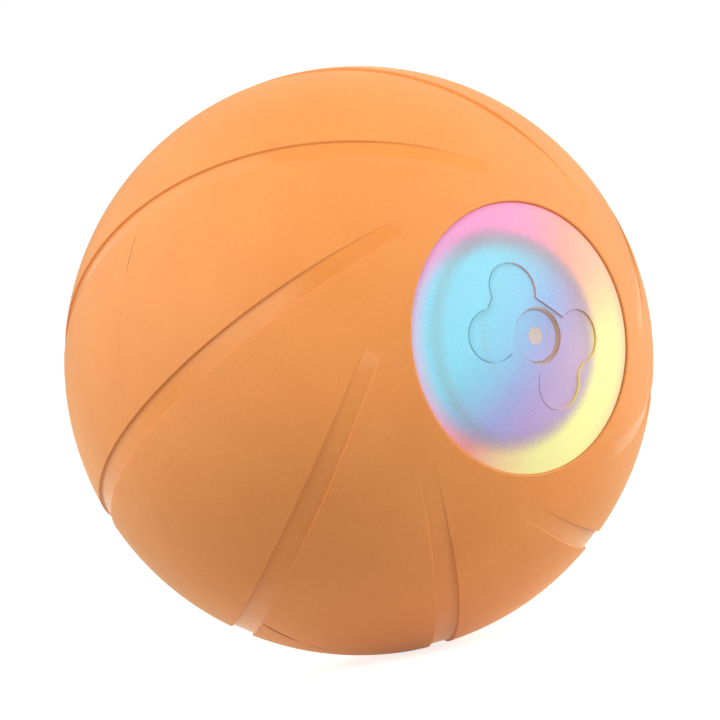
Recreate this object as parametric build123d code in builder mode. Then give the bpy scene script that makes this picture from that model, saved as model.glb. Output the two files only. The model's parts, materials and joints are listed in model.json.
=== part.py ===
from build123d import *
import math
import os

# Interactive dog ball: a soft orange cover over a hard split shell, with a lit window at each end.
# The ball rolls about X. +X comes out of the window that holds the power button, +Z is up, and the
# origin is the ball's centre. A motor on the fixed core swings a steel weight round the X axis.
# The left half pulls off along -X, which bares the charging port. Lengths are in millimetres.

# The ball and its walls
ball_radius = 40.0
cover_wall = 2.6
cover_fit = 0.06
shell_wall = 1.8
seam_bevel = 0.08
window_radius = 18.25
window_lip = 0.2
overrun = 1.5
press_fit = 0.02
push_fit = 0.08
running_fit = 0.05

# Swirl grooves, each a band about a great circle that crosses the seam
groove_count = 8
groove_width = 3.1
groove_depth = 0.36
groove_end_depth = 0.08
groove_tilt = 29.2
groove_start_angle = 18.2
groove_full_angle = 44.0
groove_phase = 3.9

# Light caps and the bone outline sunk in their faces
cap_drop = 0.4
cap_wall = 1.6
cap_gap = 0.1
cap_lip = 0.15
cap_skirt_wall = 1.5
cap_skirt_length = 2.9
bone_depth = 0.25
bone_lobe_radius = 3.6
bone_lobe_reach = 6.15
bone_lobe_rise = 3.58
bone_half_length = 8.5
bone_shaft_half_width = 4.35
bone_turn = -41.2

# Seat of a light cap in the hard shell
seat_drop = 0.6
seat_rim_gap = 0.15
seat_width = 3.8
hub_depth = 3.3
hub_rim = 1.4
cap_seal_thickness = 0.5
cap_seal_inset = 0.4

# Joint between the halves: the right shell's spigot, and its ring seal
spigot_reach = 3.6
spigot_root = 2.4
spigot_wall = 2.0
socket_depth = 3.9
seal_groove_start = 1.2
seal_groove_width = 1.2
seal_groove_depth = 1.1
seal_section_radius = 0.52
seal_squeeze_gap = 0.02

# Core that holds the battery, boards and motor, fixed to the right half
core_radius = 18.5
wire_bore_radius = 2.6
neck_radius = 5.6
frame_plate = 2.0
board_thickness = 1.2
board_inset = 0.3
board_parts_room = 1.6
end_plate = 1.8
end_plate_rim = 1.5
post_radius = 1.9
post_radius_low = 1.5
post_edge = 0.64
post_angle = 12.3
post_angle_low = 66.6
shelf_thickness = 1.2
tray_wall = 1.1

# Battery
battery_length = 22.0
battery_under_room = 5.7
battery_side_room = 0.61
battery_edge = 1.2
battery_pad_thickness = 0.4
battery_pad_inset = 3.0
battery_slack = 0.1

# Motor, a small flat-sided can
motor_radius = 6.0
motor_thickness = 10.0
motor_length = 15.0
motor_wall = 0.5
motor_front_wall = 1.0
motor_height = 11.0
motor_bell_length = 1.4
motor_shaft_radius = 0.5
motor_boss_radius = 1.5
motor_boss_height = 0.8
rotor_radius = 3.4
rotor_length = 8.6
rotor_slot = 1.0
rotor_slot_depth = 1.6
rotor_slot_count = 3
commutator_radius = 1.3
commutator_length = 2.4
magnet_gap = 0.35
magnet_wall = 1.4
magnet_half_height = 3.4
terminal_width = 1.4
terminal_thickness = 0.3
terminal_length = 2.0
terminal_spread = 3.2
saddle_thickness = 2.0
saddle_wall = 1.4
saddle_cheek = 3.0

# Gears: motor pinion to reduction gear, reduction gear to drive gear
pressure_angle = 25.0
tooth_addendum_share = 0.8
tooth_dedendum_share = 1.05
gear_backlash = 0.06
fast_module = 0.4
pinion_teeth = 10
reduction_teeth = 30
slow_module = 0.5
reduction_small_teeth = 12
drive_teeth = 38
gear_face_gap = 0.5
reduction_gear_width = 1.5
reduction_small_width = 2.7
drive_gear_width = 2.7
drive_gear_side_gap = 0.4
drive_gear_shoulder = 0.3
gear_pin_radius = 0.75
gear_pin_tip = 0.2

# Swinging weight and its yoke
arm_thickness = 2.2
arm_hub_radius = 10.0
arm_screw_angle = 22.0
key_radius = 8.2
key_half_height = 7.4
bush_wall = 0.8
bush_flange_radius = 8.0
bush_flange = 0.6
bush_play = 0.3
cradle_wall = 2.2
cradle_gap = 1.5
cradle_half_angle = 32.0
weight_half_length = 11.0
weight_half_angle = 30.0
weight_running_gap = 1.1
weight_edge = 0.4
weight_screw_spread = 6.0

# Flange that ties the core's neck to the right shell
flange_thickness = 2.0
flange_post_radius = 2.1
flange_rim = 0.5
light_standoff_radius = 1.5
light_standoff = 2.2
light_standoff_ring = 10.9
light_standoff_angle = 30.0

# Light boards, lights and the button's switch
light_board_radius = 12.6
light_board_thickness = 1.0
light_count = 6
light_ring = 8.6
light_size = 3.5
light_height = 1.5
light_lens_radius = 1.45
light_lens_height = 0.25
switch_size = 6.0
switch_height = 3.5
switch_corner = 0.6
standoff_count = 3
plunger_radius = 1.75
plunger_height = 1.6
plunger_depth = 0.9

# Power button, set in the right cap
button_hole_radius = 3.6
button_hole_bevel = 0.3
button_radius = 3.5
button_sink = 0.75
button_travel = 0.4
button_edge = 0.15
button_flange_radius = 4.7
button_flange = 0.6
button_head_depth = 2.55
button_stem_radius = 1.75
button_seal_height = 0.4
button_collar_radius = 6.4
button_collar_depth = 5.2
button_cage_radius = 5.0
button_dot_radius = 1.2
button_dot_depth = 0.9

# Screws: head radius, head height, shank radius, shank length
small_screw = (1.3, 0.8, 0.7, 4.5)
motor_screw = (1.3, 0.8, 0.7, 2.0)
frame_screw = (1.5, 0.8, 0.7, 9.0)
case_screw = (1.4, 1.1, 0.8, 6.0)
screw_slot_width = 0.4
screw_slot_depth = 0.35
neck_screw_ring = 4.1
neck_screw_count = 3
neck_screw_angle = 90.0
case_screw_count = 4
case_screw_angle = 45.0
motor_screw_spread = 4.4

# Charging port and the parts on the main board
port_width = 9.0
port_height = 3.2
port_length = 7.3
port_wall = 0.3
port_corner = 1.2
port_tongue_width = 6.7
port_tongue_thickness = 0.7
port_tongue_inset = 1.0
port_throat = 6.2
port_proud = 0.1
port_notch_gap = 0.5
chip_height = 1.0
chip_small = 3.0
chip_large = 5.0

# Leads
lead_radius = 0.4
lead_pitch = 1.3
lead_bend = 0.9
battery_lead_room = 1.5
motor_lead_drop = 3.0


def axial(radius, ring):
    """Distance from the centre, along X, of the circle of radius `ring` on a sphere."""
    return math.sqrt(radius**2 - ring**2)


def arc_angle(side, radius, ring):
    """Angle in the XY plane of the point at `ring` from the X axis, on the given side."""
    angle = math.degrees(math.asin(ring / radius))
    return angle if side > 0 else 180 - angle


def dome_arc(side, radius, ring_from, ring_to):
    """Arc of a sphere's half section, between two distances from the X axis."""
    start = arc_angle(side, radius, ring_from)
    return CenterArc((0, 0), radius, start, arc_angle(side, radius, ring_to) - start)


def station(x):
    """Plane square to the roll axis, with Y across and Z up."""
    return Plane.YZ.offset(x)


def polar(radius, angle):
    """Point in a plane from its radius and its angle in degrees."""
    return (radius * math.cos(math.radians(angle)), radius * math.sin(math.radians(angle)))


def ring_places(radius, count, start=0):
    """Points spaced evenly round a circle."""
    return [polar(radius, start + 360 * index / count) for index in range(count)]


def seats_at(x, facing, places):
    """Planes at the given YZ places, looking along +X or -X."""
    return [Plane(origin=(x, y, z), x_dir=(0, 1, 0), z_dir=(facing, 0, 0)) for y, z in places]


def screw_set(seats, sizes, label):
    """Screws with a crossed slot, each head standing on its own seat plane."""
    head_radius, head_height, shank_radius, shank_length = sizes
    with BuildPart() as screws:
        with BuildSketch(*seats):
            Circle(head_radius)
        extrude(amount=head_height)
        with BuildSketch(*seats):
            Circle(shank_radius)
        extrude(amount=-shank_length)
        with BuildSketch(*[seat.offset(head_height) for seat in seats]):
            Rectangle(head_radius + shank_radius, screw_slot_width)
            Rectangle(screw_slot_width, head_radius + shank_radius)
        extrude(amount=-screw_slot_depth, mode=Mode.SUBTRACT)
    screws.part.label = label
    return screws


def gear_outline(teeth, module, phase):
    """Points round an involute gear, with the middle of one tooth at the angle `phase`."""
    pitch_radius = module * teeth / 2
    base_radius = pitch_radius * math.cos(math.radians(pressure_angle))
    root_radius = pitch_radius - tooth_dedendum_share * module
    tip_radius = pitch_radius + tooth_addendum_share * module
    flank_steps = 4

    def involute(radius):
        roll = math.sqrt(max((radius / base_radius)**2 - 1, 0))
        return math.degrees(roll - math.atan(roll))

    half_tooth = 90 / teeth - math.degrees(gear_backlash / (2 * pitch_radius))
    flank_low = max(base_radius, root_radius)
    flank = []
    for step in range(flank_steps + 1):
        radius = flank_low + (tip_radius - flank_low) * step / flank_steps
        flank.append((radius, half_tooth + involute(pitch_radius) - involute(radius)))
    if root_radius < flank_low:
        flank.insert(0, (root_radius, flank[0][1]))
    points = []
    for tooth in range(teeth):
        middle = phase + 360 * tooth / teeth
        points += [polar(radius, middle - half) for radius, half in flank]
        points += [polar(radius, middle + half) for radius, half in reversed(flank)]
    return points


# Derived sizes of the skins
cover_inner = ball_radius - cover_wall
shell_outer = cover_inner - cover_fit
shell_inner = shell_outer - shell_wall
dome_radius = ball_radius - cap_drop
dome_inner = dome_radius - cap_wall
seat_rim = window_radius + seat_rim_gap
seat_hole = seat_rim - seat_width
seat_x = axial(shell_outer, seat_rim) - seat_drop
hub_x = seat_x - hub_depth
cap_radius = window_radius - cap_gap
cap_foot_x = seat_x + cap_seal_thickness
skirt_outer = seat_hole - cap_gap
skirt_inner = skirt_outer - cap_skirt_wall
case_screw_ring = (seat_hole + seat_rim) / 2
case_screw_places = ring_places(case_screw_ring, case_screw_count, case_screw_angle)

# Great-circle planes of the grooves: local X points at the nearest point to the roll axis
groove_planes = []
for groove_index in range(groove_count):
    crossing_angle = math.radians(groove_phase + 360 * groove_index / groove_count)
    tilt_angle = math.radians(groove_tilt)
    nearest_angle = crossing_angle - math.pi / 2
    nearest = Vector(
        math.cos(tilt_angle),
        math.sin(tilt_angle) * math.cos(nearest_angle),
        math.sin(tilt_angle) * math.sin(nearest_angle),
    )
    crossing = Vector(0, math.cos(crossing_angle), math.sin(crossing_angle))
    groove_planes.append(Plane(origin=(0, 0, 0), x_dir=nearest, z_dir=nearest.cross(crossing)))

# Groove cutters: an even floor across the seam, rising slowly to a shallow blunt end near each cap
groove_floor = ball_radius - groove_depth
groove_end = ball_radius - groove_end_depth
groove_sweep = 180 - 2 * groove_full_angle
ramp_middle = ((groove_floor + groove_end) / 2, (groove_start_angle + groove_full_angle) / 2)
with BuildPart() as groove_cutters:
    with BuildSketch(*groove_planes):
        with BuildLine():
            CenterArc((0, 0), groove_floor, groove_full_angle, groove_sweep)
            ThreePointArc(
                polar(groove_end, groove_start_angle),
                polar(*ramp_middle),
                polar(groove_floor, groove_full_angle),
            )
            ThreePointArc(
                polar(groove_floor, 180 - groove_full_angle),
                polar(ramp_middle[0], 180 - ramp_middle[1]),
                polar(groove_end, 180 - groove_start_angle),
            )
            Line(
                polar(groove_end, groove_start_angle),
                polar(ball_radius + overrun, groove_start_angle),
            )
            Line(
                polar(groove_end, 180 - groove_start_angle),
                polar(ball_radius + overrun, 180 - groove_start_angle),
            )
            CenterArc(
                (0, 0), ball_radius + overrun, groove_start_angle, 180 - 2 * groove_start_angle
            )
        make_face()
    extrude(amount=groove_width / 2, both=True)


def rims_of(turned, side):
    """Circles round the roll axis on a turned piece, from the seam outwards."""
    rims = turned.edges().filter_by(GeomType.CIRCLE).filter_by(Plane.YZ)
    return rims.sort_by(lambda edge: side * edge.center().X)


def half_cover(side, label):
    """Soft outer cover of one half, with its round window and its half of every groove."""
    with BuildPart() as cover:
        with BuildSketch():
            with BuildLine():
                dome_arc(side, ball_radius, ball_radius, window_radius)
                Line(
                    (side * axial(ball_radius, window_radius), window_radius),
                    (side * axial(cover_inner, window_radius), window_radius),
                )
                dome_arc(side, cover_inner, window_radius, cover_inner)
                Line((0, cover_inner), (0, ball_radius))
            make_face()
        revolve(axis=Axis.X)
        fillet(rims_of(cover, side)[-1], radius=window_lip)
        chamfer(rims_of(cover, side).sort_by(SortBy.RADIUS)[-1], length=seam_bevel)
        add(groove_cutters.part, mode=Mode.SUBTRACT)
    cover.part.label = label
    return cover


right_cover = half_cover(1, "right_cover")
left_cover = half_cover(-1, "left_cover")


# The right shell's spigot plugs into a straight socket in the left shell
spigot_outer = shell_inner - push_fit
spigot_inner = spigot_outer - spigot_wall
hub_outer = seat_rim + hub_rim


def inner_shell(side, label, with_spigot):
    """Hard shell of one half, with the seat that its light cap stands on."""
    with BuildPart() as shell:
        with BuildSketch():
            with BuildLine():
                dome_arc(side, shell_outer, shell_outer, seat_rim)
                Polyline(
                    (side * axial(shell_outer, seat_rim), seat_rim),
                    (side * seat_x, seat_rim),
                    (side * seat_x, seat_hole),
                    (side * hub_x, seat_hole),
                    (side * hub_x, hub_outer),
                    (side * axial(shell_inner, hub_outer), hub_outer),
                )
                dome_arc(side, shell_inner, hub_outer, shell_inner)
                Line((0, shell_inner), (0, shell_outer))
            make_face()
        revolve(axis=Axis.X)
        if with_spigot:
            with BuildSketch():
                with BuildLine():
                    Polyline(
                        (-spigot_reach, spigot_inner),
                        (-spigot_reach, spigot_outer),
                        (0, spigot_outer),
                        (0, shell_inner + shell_wall / 2),
                        (spigot_root, shell_inner + shell_wall / 2),
                        (spigot_root, spigot_inner),
                        close=True,
                    )
                make_face()
            revolve(axis=Axis.X)
            with BuildSketch():
                with Locations((-seal_groove_start - seal_groove_width / 2, spigot_outer)):
                    Rectangle(seal_groove_width, 2 * seal_groove_depth)
            revolve(axis=Axis.X, mode=Mode.SUBTRACT)
            with BuildSketch(station(seat_x)):
                with Locations(*case_screw_places):
                    Circle(case_screw[2] + press_fit)
            extrude(amount=-hub_depth - overrun, mode=Mode.SUBTRACT)
            with BuildSketch(station(seat_x)):
                with Locations(*case_screw_places):
                    Circle(case_screw[0] + push_fit)
            extrude(amount=-case_screw[1], mode=Mode.SUBTRACT)
        else:
            with BuildSketch():
                with Locations((side * socket_depth / 2, shell_inner / 2)):
                    Rectangle(socket_depth, shell_inner)
            revolve(axis=Axis.X, mode=Mode.SUBTRACT)
    shell.part.label = label
    return shell


right_inner_shell = inner_shell(1, "right_inner_shell", True)
left_inner_shell = inner_shell(-1, "left_inner_shell", False)

with BuildPart() as seam_seal:
    with BuildSketch():
        with Locations(
            (
                -seal_groove_start - seal_groove_width / 2,
                shell_inner - seal_squeeze_gap - seal_section_radius,
            )
        ):
            Circle(seal_section_radius)
    revolve(axis=Axis.X)
seam_seal.part.label = "seam_seal"


def bone_cutter(side):
    """Shallow bone-shaped pocket between the cap's face and a floor just under it."""
    with BuildPart() as bone:
        with BuildSketch(station(0)):
            with BuildSketch(Plane.XY, mode=Mode.PRIVATE) as figure:
                with Locations(
                    (-bone_lobe_reach, -bone_lobe_rise),
                    (-bone_lobe_reach, bone_lobe_rise),
                    (bone_lobe_reach, -bone_lobe_rise),
                    (bone_lobe_reach, bone_lobe_rise),
                ):
                    Circle(bone_lobe_radius)
                Rectangle(2 * bone_half_length, 2 * bone_shaft_half_width)
            add(figure.sketch, rotation=bone_turn)
        extrude(amount=side * (dome_radius + overrun))
        Sphere(dome_radius - bone_depth, mode=Mode.SUBTRACT)
    return bone


# Power button places, outward from the switch
button_top = axial(dome_radius, button_hole_radius) - button_sink
button_head_foot = button_top - button_head_depth
button_shoulder = button_head_foot + button_seal_height
button_flange_foot = button_head_foot - button_flange


def is_hole_rim(edge):
    """True for the outer rim of the button's hole, on the floor of the bone."""
    if edge.geom_type != GeomType.CIRCLE:
        return False
    is_hole = abs(edge.radius - button_hole_radius) < press_fit
    return is_hole and edge.center().X > button_top


def light_cap(side, label, with_button):
    """Frosted end window: a dome with a skirt that enters the shell's hole."""
    with BuildPart() as cap:
        inner_end = button_collar_radius if with_button else 0
        with BuildSketch():
            with BuildLine():
                dome_arc(side, dome_radius, cap_radius, button_hole_radius if with_button else 0)
                Polyline(
                    (side * axial(dome_radius, cap_radius), cap_radius),
                    (side * cap_foot_x, cap_radius),
                    (side * cap_foot_x, skirt_outer),
                    (side * (cap_foot_x - cap_skirt_length), skirt_outer),
                    (side * (cap_foot_x - cap_skirt_length), skirt_inner),
                    (side * axial(dome_inner, skirt_inner), skirt_inner),
                )
                dome_arc(side, dome_inner, skirt_inner, inner_end)
                if with_button:
                    Polyline(
                        (axial(dome_inner, button_collar_radius), button_collar_radius),
                        (dome_radius - button_collar_depth, button_collar_radius),
                        (dome_radius - button_collar_depth, button_cage_radius),
                        (button_shoulder, button_cage_radius),
                        (button_shoulder, button_hole_radius),
                        (axial(dome_radius, button_hole_radius), button_hole_radius),
                    )
                else:
                    Line((side * dome_inner, 0), (side * dome_radius, 0))
            make_face()
        revolve(axis=Axis.X)
        widest = rims_of(cap, side).filter_by(lambda edge: edge.radius > skirt_outer + cap_gap)
        fillet(widest[-1], radius=cap_lip)
        add(bone_cutter(side).part, mode=Mode.SUBTRACT)
        if with_button:
            hole_rim = cap.edges().filter_by(is_hole_rim)
            chamfer(hole_rim, length=button_hole_bevel)
    cap.part.label = label
    return cap


right_light_cap = light_cap(1, "right_light_cap", True)
left_light_cap = light_cap(-1, "left_light_cap", False)


def cap_seal(side, label):
    """Flat ring under a light cap."""
    with BuildPart() as seal:
        with BuildSketch(station(side * seat_x)):
            Circle(cap_radius - cap_seal_inset)
            Circle(seat_hole + cap_seal_inset, mode=Mode.SUBTRACT)
        extrude(amount=side * cap_seal_thickness)
    seal.part.label = label
    return seal


right_cap_seal = cap_seal(1, "right_cap_seal")
left_cap_seal = cap_seal(-1, "left_cap_seal")

# Stations along the roll axis, outward from the core's middle
battery_room = battery_length + 2 * lead_bend + lead_radius
core_inside = battery_room + battery_slack
plate_inner_x = core_inside / 2 - board_thickness / 2
plate_outer_x = plate_inner_x + frame_plate
board_right_x = plate_inner_x - core_inside
board_left_x = board_right_x - board_thickness
end_plate_right_x = board_left_x - board_parts_room
end_plate_left_x = end_plate_right_x - end_plate
fast_gear_x = plate_outer_x + gear_face_gap
fast_gear_end_x = fast_gear_x + reduction_gear_width
slow_gear_end_x = fast_gear_end_x + reduction_small_width
drive_gear_x = fast_gear_end_x + drive_gear_side_gap
drive_gear_end_x = drive_gear_x + drive_gear_width
arm_inner_x = drive_gear_end_x + drive_gear_shoulder
arm_outer_x = arm_inner_x + arm_thickness
neck_end_x = arm_outer_x + bush_flange + bush_play
flange_outer_x = neck_end_x + flange_thickness
light_board_x = flange_outer_x + light_standoff
light_face_x = light_board_x + light_board_thickness
switch_face_x = light_face_x + switch_height
button_stem_foot = switch_face_x + plunger_height

# Gear centres in the YZ plane: the motor stands straight above the roll axis
slow_distance = slow_module * (reduction_small_teeth + drive_teeth) / 2
fast_distance = fast_module * (pinion_teeth + reduction_teeth) / 2
reduction_angle = 90 - math.degrees(
    math.acos(
        (slow_distance**2 + motor_height**2 - fast_distance**2) / (2 * slow_distance * motor_height)
    )
)
reduction_centre = polar(slow_distance, reduction_angle)
motor_centre = (0, motor_height)
pinion_angle = math.degrees(
    math.atan2(motor_centre[1] - reduction_centre[1], motor_centre[0] - reduction_centre[0])
)

# Shelf between motor and battery, and the battery's places under it
shelf_middle = -wire_bore_radius - shelf_thickness
shelf_bottom = shelf_middle - shelf_thickness / 2
battery_top = shelf_bottom - battery_pad_thickness
battery_bottom = battery_under_room - core_radius
battery_thickness = battery_top - battery_bottom
battery_width = 2 * axial(core_radius - battery_side_room, battery_bottom)
tray_floor_top = battery_bottom - battery_slack
tray_half_width = battery_width / 2 + battery_slack
post_ring = core_radius - post_edge - post_radius
post_ring_low = core_radius - post_edge - post_radius_low
post_places = [
    polar(post_ring, -post_angle),
    polar(post_ring, 180 + post_angle),
    polar(post_ring_low, -post_angle_low),
    polar(post_ring_low, 180 + post_angle_low),
]
frame_screw_bite = frame_screw[3] - end_plate - board_parts_room - board_thickness
neck_screw_places = ring_places(neck_screw_ring, neck_screw_count, neck_screw_angle)
motor_screw_places = [(-motor_screw_spread, motor_height), (motor_screw_spread, motor_height)]


def motor_section(grow):
    """Flat-sided round section of the motor, grown by `grow` all round."""
    with Locations(motor_centre):
        Circle(motor_radius + grow)
        Rectangle(
            2 * (motor_radius + grow + overrun), motor_thickness + 2 * grow, mode=Mode.INTERSECT
        )


with BuildPart() as motor_body_cutter:
    with BuildSketch(station(board_right_x)):
        motor_section(running_fit)
    extrude(amount=core_inside)

with BuildPart() as core_frame:
    # Plate at the drive end, and the neck that the right half's flange is screwed to
    with BuildSketch(station(plate_inner_x)):
        Circle(core_radius)
    extrude(amount=frame_plate)
    with BuildSketch(station(plate_outer_x)):
        Circle(neck_radius)
    extrude(amount=neck_end_x - plate_outer_x)
    # Battery tray, shelf and the posts that carry the main board
    with BuildSketch(station(board_right_x)):
        with Locations((0, shelf_middle)):
            Rectangle(2 * post_ring, shelf_thickness)
        tray_height = shelf_middle - tray_floor_top + tray_wall
        with Locations((0, shelf_middle - tray_height / 2)):
            Rectangle(2 * (tray_half_width + tray_wall), tray_height)
        with Locations((0, (shelf_bottom + tray_floor_top) / 2)):
            Rectangle(2 * tray_half_width, shelf_bottom - tray_floor_top, mode=Mode.SUBTRACT)
        with Locations(*post_places[:2]):
            Circle(post_radius)
        with Locations(*post_places[2:]):
            Circle(post_radius_low)
        Circle(core_radius, mode=Mode.INTERSECT)
    extrude(amount=core_inside)
    # Two saddles under the motor
    saddle_top = motor_height - motor_thickness / 2 + saddle_cheek
    saddle_foot = shelf_middle
    for saddle_x in (plate_inner_x - motor_length, plate_inner_x - 2 * saddle_thickness):
        with BuildSketch(station(saddle_x)):
            with Locations((0, (saddle_top + saddle_foot) / 2)):
                Rectangle(2 * (motor_radius + saddle_wall), saddle_top - saddle_foot)
        extrude(amount=saddle_thickness)
    add(motor_body_cutter.part, mode=Mode.SUBTRACT)
    # Bore for the leads, through the saddles, the plate and the neck
    with BuildSketch(station(board_right_x)):
        Circle(wire_bore_radius)
    extrude(amount=neck_end_x - board_right_x + overrun, mode=Mode.SUBTRACT)
    # Holes for the motor's nose, its screws, the gear pin and the neck and board screws
    with BuildSketch(station(plate_inner_x)):
        with Locations(motor_centre):
            Circle(motor_boss_radius + running_fit)
        with Locations(reduction_centre):
            Circle(gear_pin_radius + press_fit)
        with Locations(*motor_screw_places):
            Circle(motor_screw[2] + press_fit)
    extrude(amount=frame_plate, mode=Mode.SUBTRACT)
    with BuildSketch(station(plate_outer_x)):
        with Locations(*motor_screw_places):
            Circle(motor_screw[0] + press_fit)
    extrude(amount=-motor_screw[1], mode=Mode.SUBTRACT)
    with BuildSketch(station(neck_end_x)):
        with Locations(*neck_screw_places):
            Circle(small_screw[2] + press_fit)
    extrude(amount=-small_screw[3], mode=Mode.SUBTRACT)
    with BuildSketch(station(board_right_x)):
        with Locations(*post_places):
            Circle(frame_screw[2] + press_fit)
    extrude(amount=frame_screw_bite, mode=Mode.SUBTRACT)
core_frame.part.label = "core_frame"

# Main board, its charging port and its chips
port_mouth_z = axial(core_radius, port_width / 2) + port_proud
with BuildPart() as main_board:
    with BuildSketch(station(board_left_x)):
        Circle(core_radius - board_inset)
        with Locations(*post_places):
            Circle(frame_screw[2] + press_fit, mode=Mode.SUBTRACT)
    extrude(amount=board_thickness)
main_board.part.label = "main_board"

with BuildPart() as usb_port:
    with BuildSketch(Plane.XY.offset(port_mouth_z)):
        with Locations((board_left_x - port_height / 2, 0)):
            RectangleRounded(port_height, port_width, port_corner)
    extrude(amount=-port_length)
    with BuildSketch(Plane.XY.offset(port_mouth_z)):
        with Locations((board_left_x - port_height / 2, 0)):
            RectangleRounded(
                port_height - 2 * port_wall, port_width - 2 * port_wall, port_corner - port_wall
            )
    extrude(amount=-port_throat, mode=Mode.SUBTRACT)
    with BuildSketch(Plane.XY.offset(port_mouth_z - port_length)):
        with Locations((board_left_x - port_height / 2, 0)):
            Rectangle(port_tongue_thickness, port_tongue_width)
    extrude(amount=port_length - port_tongue_inset)
usb_port.part.label = "usb_port"

# Chips on the main board: place as a share of the core's radius, and edge length
chip_place_shares = [
    (-0.51, 0.27, chip_large),
    (0.51, 0.30, chip_small),
    (-0.49, -0.38, chip_small),
    (0.46, -0.16, chip_small),
    (0.0, -0.49, chip_large),
]
with BuildPart() as control_chips:
    for across_share, up_share, chip_edge in chip_place_shares:
        with BuildSketch(station(board_left_x)):
            with Locations((across_share * core_radius, up_share * core_radius)):
                Rectangle(chip_edge, chip_edge)
        extrude(amount=-chip_height)
control_chips.part.label = "control_chips"

# End plate that covers the board and carries the left trunnion
trunnion_end_x = -light_board_x
with BuildPart() as core_end_plate:
    with BuildSketch(station(end_plate_left_x)):
        Circle(core_radius)
    extrude(amount=end_plate)
    with BuildSketch(station(end_plate_right_x)):
        Circle(core_radius)
        Circle(core_radius - end_plate_rim, mode=Mode.SUBTRACT)
        with Locations(*post_places):
            Circle(post_radius)
        Circle(core_radius, mode=Mode.INTERSECT)
    extrude(amount=board_parts_room)
    with BuildSketch(station(end_plate_left_x)):
        Circle(neck_radius)
    extrude(amount=trunnion_end_x - end_plate_left_x)
    with BuildSketch(station(board_left_x)):
        Circle(wire_bore_radius)
    extrude(amount=trunnion_end_x - board_left_x, mode=Mode.SUBTRACT)
    with BuildSketch(station(trunnion_end_x)):
        with Locations(*neck_screw_places):
            Circle(small_screw[2] + press_fit)
    extrude(amount=small_screw[3], mode=Mode.SUBTRACT)
    with BuildSketch(station(board_left_x)):
        with Locations(*post_places):
            Circle(frame_screw[2] + press_fit)
    extrude(amount=end_plate_left_x - board_left_x, mode=Mode.SUBTRACT)
    # Notch that the charging port stands in
    with BuildSketch(station(board_left_x)):
        with Locations((0, port_mouth_z)):
            Rectangle(
                port_width + 2 * port_notch_gap, 2 * (port_length + port_notch_gap)
            )
    extrude(amount=end_plate_left_x - board_left_x - overrun, mode=Mode.SUBTRACT)
core_end_plate.part.label = "core_end_plate"

frame_screws = screw_set(seats_at(end_plate_left_x, -1, post_places), frame_screw, "frame_screws")

# Battery, its pad and its leads
battery_left_x = board_right_x + 2 * lead_bend + lead_radius
with BuildPart() as battery_cell:
    with BuildSketch(station(battery_left_x)):
        with Locations((0, (battery_top + battery_bottom) / 2)):
            RectangleRounded(battery_width, battery_thickness, battery_edge)
    extrude(amount=battery_length)
battery_cell.part.label = "battery_cell"

with BuildPart() as battery_pad:
    with BuildSketch(station(battery_left_x + battery_pad_inset)):
        with Locations((0, battery_top + battery_pad_thickness / 2)):
            Rectangle(battery_width - 2 * battery_pad_inset, battery_pad_thickness)
    extrude(amount=battery_length - 2 * battery_pad_inset)
battery_pad.part.label = "battery_pad"


def leads(paths, label):
    """Insulated leads, each swept along its own bent path of points."""
    with BuildPart() as wires:
        for points in paths:
            with BuildLine() as route:
                if len(points) > 2:
                    FilletPolyline(*points, radius=lead_bend)
                else:
                    Line(*points)
            with BuildSketch(Plane(origin=points[0], z_dir=route.line % 0)):
                Circle(lead_radius)
            sweep(path=route.line)
    wires.part.label = label
    return wires


battery_lead_x = (battery_left_x + board_right_x) / 2
battery_lead_top = battery_top - battery_thickness / 4
battery_lead_foot = battery_bottom + battery_lead_room
battery_leads = leads(
    [
        (
            (battery_left_x, across, battery_lead_top),
            (battery_lead_x, across, battery_lead_top),
            (battery_lead_x, across, battery_lead_foot),
            (board_right_x, across, battery_lead_foot),
        )
        for across in (-lead_pitch, lead_pitch)
    ],
    "battery_leads",
)

# Motor: can, magnets, end bell and terminals stay still; rotor, shaft and pinion turn
motor_left_x = plate_inner_x - motor_length
bell_left_x = motor_left_x - motor_bell_length
with BuildPart() as motor_can:
    with BuildSketch(station(motor_left_x)):
        motor_section(0)
    extrude(amount=motor_length)
    with BuildSketch(station(motor_left_x)):
        motor_section(-motor_wall)
    extrude(amount=motor_length - motor_front_wall, mode=Mode.SUBTRACT)
    with BuildSketch(station(plate_inner_x)):
        with Locations(motor_centre):
            Circle(motor_boss_radius)
    extrude(amount=motor_boss_height)
    with BuildSketch(station(plate_inner_x + motor_boss_height)):
        with Locations(motor_centre):
            Circle(motor_shaft_radius + running_fit)
    extrude(amount=-motor_boss_height - motor_front_wall, mode=Mode.SUBTRACT)
    with BuildSketch(station(plate_inner_x)):
        with Locations(*motor_screw_places):
            Circle(motor_screw[2] + press_fit)
    extrude(amount=-motor_front_wall, mode=Mode.SUBTRACT)
motor_can.part.label = "motor_can"

with BuildPart() as motor_end_bell:
    with BuildSketch(station(bell_left_x)):
        motor_section(0)
        with Locations(motor_centre):
            Circle(motor_shaft_radius + running_fit, mode=Mode.SUBTRACT)
    extrude(amount=motor_bell_length)
motor_end_bell.part.label = "motor_end_bell"

rotor_x = plate_inner_x - motor_front_wall - magnet_gap - rotor_length
magnet_outer = motor_radius - motor_wall - press_fit
with BuildPart() as motor_magnets:
    with BuildSketch(station(rotor_x)):
        with Locations(motor_centre):
            Circle(magnet_outer)
            Circle(magnet_outer - magnet_wall, mode=Mode.SUBTRACT)
            Rectangle(2 * motor_radius, 2 * magnet_half_height, mode=Mode.INTERSECT)
    extrude(amount=rotor_length)
motor_magnets.part.label = "motor_magnets"

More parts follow.
